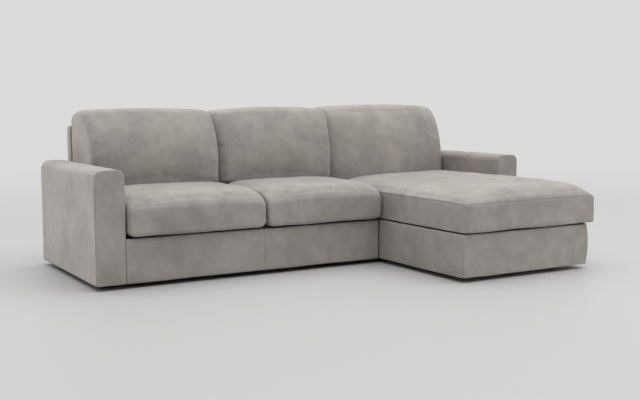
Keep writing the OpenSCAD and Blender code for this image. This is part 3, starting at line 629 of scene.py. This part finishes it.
def back_cushion(node, body, top, crown, slope, rolls, left, right, seed):
    """left and right hold the radius and the drop of the top at that end; crown lifts its middle, and
    slope its right end over its left. rolls tells how deep each end's face rolls back."""
    low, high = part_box(node)
    chaise = node.startswith("chaise")
    outer = node.startswith("left")
    x0, x1 = low.x + (0.002 if outer else 0.004), high.x - (0.008 if chaise else 0.002)
    z0 = low.z
    face, rear = 0.437, high.y - 0.003
    # Above and behind the back frame it reaches to the rear; below it stops at the belts, but for a
    # strip at each end
    step_z = 0.79 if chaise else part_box("back_section_frame")[1].z + 0.005
    step_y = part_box("back_section_belts")[0].y - 0.002
    wing, sliver = 0.041, 0.0004
    belly = 0.014
    # The left ends lie deeper than the right end of the neighbour, and stand in its shade
    recess, recess_reach = 0.034, 0.17
    counts = (24, 44)
    left_r, left_drop = left
    right_r, right_drop = right
    turn = np.radians(90 * np.linspace(0, 1, 7))
    xs = np.concatenate([
        x0 + left_r * (1 - np.cos(turn)),
        np.linspace(x0 + left_r, x1 - right_r, int((x1 - x0 - left_r - right_r) / CELL) + 1)[1:-1],
        x1 - right_r * (1 - np.sin(turn))])
    if not chaise:
        xs = np.sort(np.concatenate([xs, [x0 + wing - sliver, x0 + wing, x1 - wing, x1 - wing + sliver]]))
    rings = []
    for x in xs:
        t = (x - x0) / (x1 - x0)
        c = belly * swell(t)
        left_in, right_in = rounding(x - x0, left_r) / left_r, rounding(x1 - x, right_r) / right_r
        top_here = top + crown * swell(t) + slope * (t - 0.5) - left_in * left_drop - right_in * right_drop
        face_here = face + left_in * left_r * 0.75 + right_in * 0.012
        if not outer:
            face_here += recess * max(0.0, 1 - (x - x0) / recess_reach) ** 2
        winged = chaise or x < x0 + wing - sliver / 2 or x > x1 - wing + sliver / 2
        roof_end = step_z - 0.03 if chaise else step_z + 0.04 if winged else step_z
        roll = rolls[0] + (rolls[1] - rolls[0]) * t
        sides = back_outline(face_here, top_here, rear - (left_in + right_in) * 0.006, z0, step_z,
                             None if winged else step_y, c, roll, roof_end)
        ring = np.concatenate([
            resample(sides["bottom"], counts[0])[:-1], resample(sides["far"], counts[1])[:-1],
            resample(sides["top"], counts[0])[:-1], resample(sides["near"], counts[1])[:-1]])
        rings.append(np.column_stack([np.full(len(ring), x), ring]))
    obj = loft(node + "_soft", rings, counts)
    keep_cut(obj)
    fill(obj, 0.010, (low.x, None, z0), (high.x, high.y + 0.002, None))
    subdivide(obj)

    def right_seam(cut):
        return np.where(cut[:, 2] > z0 + 0.03, np.abs(cut[:, 0] - x1 + 0.004), 1.0)

    def left_seam(cut):
        return np.where(cut[:, 2] > z0 + 0.03, np.abs(cut[:, 0] - x0 - 0.003), 1.0)

    # The last figure of each sew sets how dark its painted shade is
    sew(obj, right_seam, 0.0010, 0.003, 0.10)
    sew(obj, left_seam, 0.0014, 0.003, 0.30)
    rumple(obj, 0.003, 0.26, seed)
    dress(obj, body, "cushion_fabric", node)


back_cushion("left_back_cushion", "back_section", 0.886, 0.004, 0.000, (0.125, 0.122),
             (0.030, 0.014), (0.026, 0.014), 11)
back_cushion("right_back_cushion", "back_section", 0.886, 0.009, 0.014, (0.125, 0.092),
             (0.052, 0.028), (0.014, 0.003), 12)
back_cushion("chaise_back_cushion", "sofa_base", 0.905, 0.009, 0.009, (0.125, 0.125),
             (0.048, 0.030), (0.044, 0.030), 13)


# Chaise cushion: boxed sides that reach down round the lid board, a seam all round, a crowned top
def dome(d, reach):
    """Quarter ellipse from 0 at an edge to 1 at reach and beyond."""
    return 1.0 if d >= reach else math.sqrt(max(0.0, 1 - (1 - d / reach) ** 2))


def chaise_cushion():
    node = "chaise_cushion"
    low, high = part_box(node)
    board_low, board_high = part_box("chaise_lid_board")
    arm_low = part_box("right_arm_cover")[0]
    x0, x1 = low.x + 0.0005, high.x + 0.004
    y0, y1 = low.y, high.y
    z0, zb, seam_z = low.z + 0.0070, board_high.z + 0.0006, 0.409
    cell, edge, lip, sliver = 0.0125, 0.009, 0.0012, 0.0003
    corner, right_corner = 0.030, 0.010
    rise, reach, left_reach = 0.066, 0.17, 0.31
    lid_x0, lid_x1, lid_y0 = board_low.x - lip, board_high.x + lip, board_low.y - lip
    counts = (int((y1 - y0) / cell), 13)
    turn = np.radians(np.linspace(0, 90, 6))
    xs = np.unique(np.concatenate([
        x0 + corner * (1 - np.cos(turn)), x1 - right_corner * (1 - np.cos(turn)),
        np.linspace(x0 + corner, x1 - right_corner, int((x1 - x0) / cell))[1:-1],
        [lid_x0 - sliver, lid_x0, lid_x1, lid_x1 + sliver]]))
    rings = []
    for x in xs:
        # The crown rises towards the right
        f = dome(x - x0, left_reach) * dome(x1 - x, reach) * (0.86 + 0.28 * (x - x0) / (x1 - x0))
        draw = rounding(x - x0, corner) + rounding(x1 - x, right_corner)
        ya, yb = y0 + 0.003 + draw, y1 - 0.001
        over_board = lid_x0 - sliver / 3 < x < lid_x1 + sliver / 3
        near = resample([(ya, seam_z), (ya, z0 + edge), (ya + edge * 0.3, z0 + edge * 0.3),
                         (ya + edge, z0)], counts[1])
        lip_y = max(lid_y0, ya + edge + 0.001)
        if over_board:
            bottom = np.concatenate([
                resample([(ya + edge, z0), (lip_y, z0)], 2)[:-1],
                resample([(lip_y, z0), (lip_y, zb)], 2)[:-1],
                resample([(lip_y, zb), (yb, zb)], counts[0] - 4)])
            far = resample([(yb, zb), (yb, seam_z)], counts[1])
        else:
            bottom = resample([(ya + edge, z0), (yb, z0)], counts[0])
            far = resample([(yb, z0), (yb, seam_z)], counts[1])
        top = []
        for t in np.linspace(0, 1, counts[0] + 1):
            y = yb + (ya - yb) * t
            g = dome(y - ya, reach) * dome((yb - y) * 2.4, reach)
            top.append((y, seam_z + (rise + 0.006 * math.sin(math.pi * t)) * f * g))
        ring = np.concatenate([bottom[:-1], far[:-1], np.array(top)[:-1], near[:-1]])
        rings.append(np.column_stack([np.full(len(ring), x), ring]))
    obj = loft(node + "_soft", rings, counts)
    keep_cut(obj)
    base = vertices(obj)
    fill(obj, 0.009, (low.x, y0 - 0.003, z0), (x1 + 0.004, y1, None))
    co = vertices(obj)
    under = (base[:, 2] < zb + 0.002) & (base[:, 1] > y0 + 0.012)
    co[under] = base[under]
    set_vertices(obj, co)
    subdivide(obj)

    def round_seam(cut):
        from_side = np.minimum(np.minimum(cut[:, 0] - x0, x1 - cut[:, 0]),
                               np.minimum(cut[:, 1] - y0, y1 - cut[:, 1]))
        return np.where(from_side < 0.03, np.abs(cut[:, 2] - seam_z), 1.0)

    # The last figure sets how dark the painted shade along the stitching is
    sew(obj, round_seam, 0.0020, 0.0032, 0.42)
    rumple(obj, 0.0035, 0.22, 21)
    co = vertices(obj)
    beside_arm = (read_cut(obj)[:, 1] > arm_low.y - 0.022) & (co[:, 0] > arm_low.x - 0.003)
    co[beside_arm, 0] = arm_low.x - 0.003
    set_vertices(obj, co)
    dress(obj, "chaise_lid", "cushion_fabric", node)


chaise_cushion()


# Arms
def arm(node):
    low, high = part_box(node)
    y0, y1 = low.y, high.y
    z0, z1 = low.z - REACH, high.z
    edge, rear_r, rear_side_r, top_r, crown = 0.007, 0.032, 0.012, 0.034, 0.006
    counts = (14, 50)
    ys = np.concatenate([
        y0 + edge * (1 - np.cos(np.radians(np.linspace(0, 90, 5)))),
        np.linspace(y0 + edge, y1 - rear_r, 78)[1:-1],
        y1 - rear_r * (1 - np.sin(np.radians(np.linspace(0, 90, 12))))])
    rings = []
    for y in ys:
        front_draw = rounding(y - y0, edge)
        side = front_draw + rounding(y1 - y, rear_side_r)
        top = z1 - 0.001 - front_draw - rounding(y1 - y, rear_r)
        ring = rect_ring((low.x + side, z0 + side * 0.3), (high.x - side, top),
                         ((0.004, 0.004), (0.004, 0.004), (top_r, top_r), (top_r, top_r)), counts)
        t = (ring[:, 0] - low.x) / (high.x - low.x)
        ring[:, 1] += np.where(ring[:, 1] > top - 0.02, crown * np.sin(np.pi * np.clip(t, 0, 1)), 0)
        rings.append(np.column_stack([ring[:, 0], np.full(len(ring), y), ring[:, 1]]))
    obj = loft(node + "_soft", rings, counts)
    keep_cut(obj)
    subdivide(obj)

    def panel_seam(cut):
        return np.where(cut[:, 2] > z0 + 0.004, cut[:, 1] - y0 - edge - 0.002, 1.0)

    def rear_seam(cut):
        return cut[:, 1] - y1 + 0.016

    # The last figure of each sew sets how dark its painted shade is
    sew(obj, panel_seam, 0.0012, 0.0028, 0.22)
    sew(obj, rear_seam, 0.0012, 0.0030, 0.25)
    rumple(obj, 0.0022, 0.25, 31 if low.x < 0 else 32)
    dress(obj, "sofa_base", "upholstery", node)


arm("left_arm_cover")
arm("right_arm_cover")


# Padded panels: base front and outer backs
def panel(node, counts, low, high, radii, ends, seam, seed, bulge=0.0, close=()):
    """Slab lofted along X with rounded edges: radii as in rect_ring, ends the radii of its left and
    right end. close holds the places of seams across it, where the grid is finer."""
    turn = 1 - np.cos(np.radians(np.linspace(0, 90, 5)))
    x0, x1 = low[0] + ends[0], high[0] - ends[1]
    xs = np.sort(np.concatenate([
        low[0] + ends[0] * turn, np.linspace(x0, x1, int((x1 - x0) / PANEL_CELL))[1:-1],
        high[0] - ends[1] * turn, *[[x - 0.005, x - 0.002, x + 0.002, x + 0.005] for x in close]]))
    rings = []
    for x in xs:
        draw = rounding(x - low[0], ends[0]) + rounding(high[0] - x, ends[1])
        ring = rect_ring((low[1] + draw, low[2]), (high[1], high[2] - draw * 0.6), radii, counts)
        rings.append(np.column_stack([np.full(len(ring), x), ring]))
    obj = loft(node + "_soft", rings, counts)
    keep_cut(obj)
    subdivide(obj)
    if bulge:
        cut = read_cut(obj)
        t = np.clip((cut[:, 2] - low[2]) / (high[2] - low[2]), 0, 1)
        co = vertices(obj)
        near = cut[:, 1] < (low[1] + high[1]) / 2
        co[:, 1] -= np.where(near, bulge * np.sin(np.pi * t), 0)
        set_vertices(obj, co)
    # The last figure sets how dark the painted shade along the stitching is
    sew(obj, seam, 0.0018, 0.0032, 0.45)
    rumple(obj, 0.0018, 0.2, seed)
    dress(obj, "sofa_base", "upholstery", node)


def front_cover():
    low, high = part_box("front_cover")
    middle = (low.x + high.x) / 2 + 0.011

    def middle_seam(cut):
        return np.where(cut[:, 1] < low.y + 0.012, cut[:, 0] - middle, 1.0)

    panel("front_cover", (3, 18),
          (low.x - 0.0008, low.y + 0.002, low.z - REACH), (high.x - 0.005, high.y, high.z - 0.002),
          ((0.004, 0.004), (0.003, 0.003), (0.006, 0.006), (0.008, 0.008)), (0.003, 0.010),
          middle_seam, 42, 0.002, [middle])


front_cover()


def outer_back(node, seed):
    low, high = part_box(node)
    seam_in = 0.014

    def rear_seams(cut):
        nearest = np.minimum(np.abs(cut[:, 0] - low.x - seam_in), np.abs(cut[:, 0] - high.x + seam_in))
        return np.where(cut[:, 1] > high.y - 0.02, nearest, 1.0)

    panel(node, (6, 60), (low.x, low.y, low.z - REACH), tuple(high),
          ((0.004, 0.004), (0.004, 0.004), (0.025, 0.025), (0.025, 0.025)), (0.010, 0.010),
          rear_seams, seed)


outer_back("sofa_back_cover", 43)
outer_back("chaise_back_cover", 44)


# Skirt of the chaise base: one cover round three sides of the box
def chaise_skirt():
    node = "chaise_base_cover"
    low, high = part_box(node)
    arm_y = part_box("right_arm_cover")[0].y
    thick, corner, seam_in = 0.007, 0.012, 0.0035
    z0, z1 = low.z - REACH, high.z - 0.0015
    turn = np.radians(np.linspace(0, 90, 7))
    plan = [(low.x, high.y)]
    plan += [(low.x + corner - corner * math.cos(a), low.y + corner - corner * math.sin(a)) for a in turn]
    plan += [(high.x - corner + corner * math.sin(a), low.y + corner - corner * math.cos(a)) for a in turn]
    plan += [(high.x, high.y)]
    path = []
    for i in range(len(plan) - 1):
        a, b = np.array(plan[i]), np.array(plan[i + 1])
        count = max(1, int(np.linalg.norm(b - a) / PANEL_CELL))
        path += [a + (b - a) * k / count for k in range(count)]
    path.append(np.array(plan[-1]))
    path = np.array(path)
    step = np.gradient(path, axis=0)
    step /= np.linalg.norm(step, axis=1, keepdims=True)
    inward = np.column_stack([-step[:, 1], step[:, 0]])
    height = z1 - z0
    # Section of the cover as (depth, height): up its outer face, over its top and down inside
    profile = [(thick, 0.0), (0.003, 0.0), (0.0008, 0.002)]
    profile += [(0.0005, height * (0.02 + 0.92 * t)) for t in np.linspace(0, 1, 18)]
    profile += [(0.0014, height - 0.009), (0.0028, height - 0.0048), (0.0048, height - 0.0018)]
    profile += [(thick, height)]
    profile += [(thick, height * t) for t in np.linspace(0.95, 0.05, 8)]
    n, m = len(profile), len(path)
    points = []
    for p, v in zip(path, inward):
        # The faces bulge, most of all the right one, but not beside the arm
        free = min(1.0, max(0.0, (arm_y - 0.03 - p[1]) / 0.10))
        right = max(0.0, -v[0])
        bulge = 0.0015 + 0.0105 * right * free
        side = min(1.0, free + (1 - right))
        for off, up in profile:
            puff = side * bulge * math.sin(math.pi * up / height) if off < 0.003 else 0.0
            points.append((p[0] + v[0] * (off - puff), p[1] + v[1] * (off - puff), z0 + up))
    faces = [(i * n + k, i * n + (k + 1) % n, (i + 1) * n + (k + 1) % n, (i + 1) * n + k)
             for i in range(m - 1) for k in range(n)]
    faces += [tuple(range(n)), tuple(range((m - 1) * n, m * n))[::-1]]
    mesh = bpy.data.meshes.new(node)
    mesh.from_pydata(points, [], faces)
    obj = finish_mesh(node + "_soft", mesh)
    keep_cut(obj)
    subdivide(obj)

    def corner_seam(cut):
        return np.minimum(np.hypot(cut[:, 0] - low.x - seam_in, cut[:, 1] - low.y - seam_in),
                          np.hypot(cut[:, 0] - high.x + seam_in, cut[:, 1] - low.y - seam_in))

    # The last figure sets how dark the painted shade along the corner stitching is
    sew(obj, corner_seam, 0.0015, 0.0028, 0.35)
    rumple(obj, 0.0020, 0.22, 51)
    dress(obj, "sofa_base", "upholstery", node)


chaise_skirt()


# Mattress sections
def mattress(node, body, upright):
    lo, hi = (np.array(corner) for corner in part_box(node))
    thin, long = (1, 2) if upright else (2, 1)
    radius, pitch = 0.014, 0.09
    counts = (int((hi[long] - lo[long]) / PANEL_CELL), 6)
    rings = []
    for x in end_stations(lo[0], hi[0], radius, 0.02, 4):
        draw = rounding(min(x - lo[0], hi[0] - x), radius)
        ring = rect_ring((lo[long] + draw, lo[thin] + draw), (hi[long] - draw, hi[thin] - draw),
                         ((radius, radius),) * 4, counts)
        columns = {0: np.full(len(ring), x), long: ring[:, 0], thin: ring[:, 1]}
        rings.append(np.column_stack([columns[axis] for axis in range(3)]))
    obj = loft(node + "_soft", rings, counts)
    keep_cut(obj)
    subdivide(obj)

    def quilting(cut):
        a = np.abs(((cut[:, 0] + cut[:, long]) / pitch) % 1 - 0.5) * pitch
        b = np.abs(((cut[:, 0] - cut[:, long]) / pitch) % 1 - 0.5) * pitch
        flat = (np.abs(cut[:, thin] - lo[thin]) < 0.004) | (np.abs(cut[:, thin] - hi[thin]) < 0.004)
        return np.where(flat, np.minimum(a, b), 1.0)

    def border(cut):
        return np.minimum(np.abs(cut[:, thin] - lo[thin] - radius), np.abs(cut[:, thin] - hi[thin] + radius))

    # Both sews paint shade at their default strength
    sew(obj, quilting, 0.0030, 0.010)
    sew(obj, border, 0.0015, 0.004)
    dress(obj, body, "ticking", node)


mattress("head_mattress", "head_section", False)
mattress("seat_mattress", "seat_section", False)
mattress("back_section_mattress", "back_section", True)

# CAD nodes that stay take their own materials; the boards whose edges lie in the gaps get the black lining,
# which covers them as cloth would and also stands as painted shade that keeps the gaps dark
LINED_AS_SHADE = ("front_board", "chaise_lid_board", "chaise_front_board", "chaise_left_board",
         "chaise_right_board", "chaise_cross_board")
slot_of = {row["node"]: row["material_slot"] for row in frame["record"]["subparts"]}
for name, obj in frame["nodes"].items():
    if not obj.hide_render:
        obj.data.materials.clear()
        obj.data.materials.append(looks["lining" if name in LINED_AS_SHADE else slot_of[name]])


# Studio: pale floor that runs into a pale background, and soft light from above
def calculate(tree, operation, first, second):
    node = tree.nodes.new("ShaderNodeMath")
    node.operation = operation
    for value, socket in ((first, node.inputs[0]), (second, node.inputs[1])):
        if isinstance(value, float):
            socket.default_value = value
        else:
            tree.links.new(value, socket)
    return node.outputs[0]


def studio():
    """Makes the floor and the world, and gives the collection that keeps lamps off the floor."""
    backdrop, grey, size = 0.707, 0.525, 30.0
    fade_start, fade_end = 2.5, 9.0
    mesh = bpy.data.meshes.new("studio_floor")
    corners = [(-size, -size, 0), (size, -size, 0), (size, size, 0), (-size, size, 0)]
    mesh.from_pydata(corners, [], [(0, 1, 2, 3)])
    floor = bpy.data.objects.new("studio_floor", mesh)
    scene.collection.objects.link(floor)
    mat, shader = new_material("studio_floor")
    shader.inputs["Base Color"].default_value = (grey, grey, grey, 1)
    shader.inputs["Roughness"].default_value = 0.45
    shader.inputs["Specular IOR Level"].default_value = 0.25
    glow = add_node(mat, "ShaderNodeEmission")
    glow.inputs["Color"].default_value = (backdrop, backdrop, backdrop, 1)
    place = add_node(mat, "ShaderNodeTexCoord")
    length = add_node(mat, "ShaderNodeVectorMath", operation="LENGTH")
    link(mat, place.outputs["Object"], length.inputs[0])
    fade = add_node(mat, "ShaderNodeMapRange", interpolation_type="SMOOTHSTEP")
    link(mat, length.outputs["Value"], fade.inputs["Value"])
    fade.inputs["From Min"].default_value = fade_start
    fade.inputs["From Max"].default_value = fade_end
    mix = add_node(mat, "ShaderNodeMixShader")
    link(mat, fade.outputs["Result"], mix.inputs[0])
    link(mat, shader.outputs["BSDF"], mix.inputs[1])
    link(mat, glow.outputs["Emission"], mix.inputs[2])
    out = next(n for n in mat.node_tree.nodes if n.type == "OUTPUT_MATERIAL")
    link(mat, mix.outputs[0], out.inputs["Surface"])
    mesh.materials.append(mat)
    # The low side lamps pass by the floor, where they would leave white patches at their own feet
    unlit = bpy.data.collections.new("unlit_by_side_lamps")
    unlit.objects.link(floor)
    unlit.collection_objects[0].light_linking.link_state = "EXCLUDE"

    world = bpy.data.worlds.new("studio_world")
    scene.world = world
    world.use_nodes = True
    tree = world.node_tree
    tree.nodes.clear()
    out = tree.nodes.new("ShaderNodeOutputWorld")
    place = tree.nodes.new("ShaderNodeTexCoord")
    light = tree.nodes.new("ShaderNodeBackground")
    light.inputs["Color"].default_value = (1, 1, 1, 1)
    total = None
    # One part of the light comes from above, and a weaker one from the right
    for axis, strength in (((0.0, 0.0, 1.0), 2.22), ((0.928, 0.0, 0.371), 0.42)):
        dot = tree.nodes.new("ShaderNodeVectorMath")
        dot.operation = "DOT_PRODUCT"
        dot.inputs[1].default_value = axis
        tree.links.new(place.outputs["Generated"], dot.inputs[0])
        facing = calculate(tree, "MAXIMUM", dot.outputs["Value"], 0.0)
        part = calculate(tree, "MULTIPLY", calculate(tree, "POWER", facing, 2.0), strength)
        total = part if total is None else calculate(tree, "ADD", total, part)
    tree.links.new(total, light.inputs["Strength"])
    seen = tree.nodes.new("ShaderNodeBackground")
    seen.inputs["Color"].default_value = (backdrop, backdrop, backdrop, 1)
    path = tree.nodes.new("ShaderNodeLightPath")
    either = calculate(tree, "MAXIMUM", path.outputs["Is Camera Ray"], path.outputs["Is Glossy Ray"])
    mix = tree.nodes.new("ShaderNodeMixShader")
    tree.links.new(calculate(tree, "MAXIMUM", either, path.outputs["Is Transmission Ray"]), mix.inputs[0])
    tree.links.new(light.outputs[0], mix.inputs[1])
    tree.links.new(seen.outputs[0], mix.inputs[2])
    tree.links.new(mix.outputs[0], out.inputs["Surface"])
    return unlit


def lamp(name, place, target, size, power, unlit=None):
    """Square lamp at place, turned to target: unlit is a collection that says what it doesn't light."""
    data = bpy.data.lights.new(name, "AREA")
    data.shape = "SQUARE"
    data.size = size
    data.energy = power
    obj = bpy.data.objects.new(name, data)
    obj.location = place
    obj.rotation_euler = (Vector(target) - Vector(place)).to_track_quat("-Z", "Y").to_euler()
    obj.light_linking.receiver_collection = unlit
    scene.collection.objects.link(obj)


unlit_floor = studio()
lamp("overhead_lamp", (1.4, -0.9, 4.2), (0.6, -0.2, 0.3), 3.0, 23.0)
lamp("left_lamp", (-7.0, 4.3, 2.4), (-0.8, 0.3, 0.4), 2.4, 225.0, unlit_floor)
lamp("front_lamp", (1.8, -5.2, 0.9), (0.4, -0.3, 0.25), 2.2, 36.0, unlit_floor)
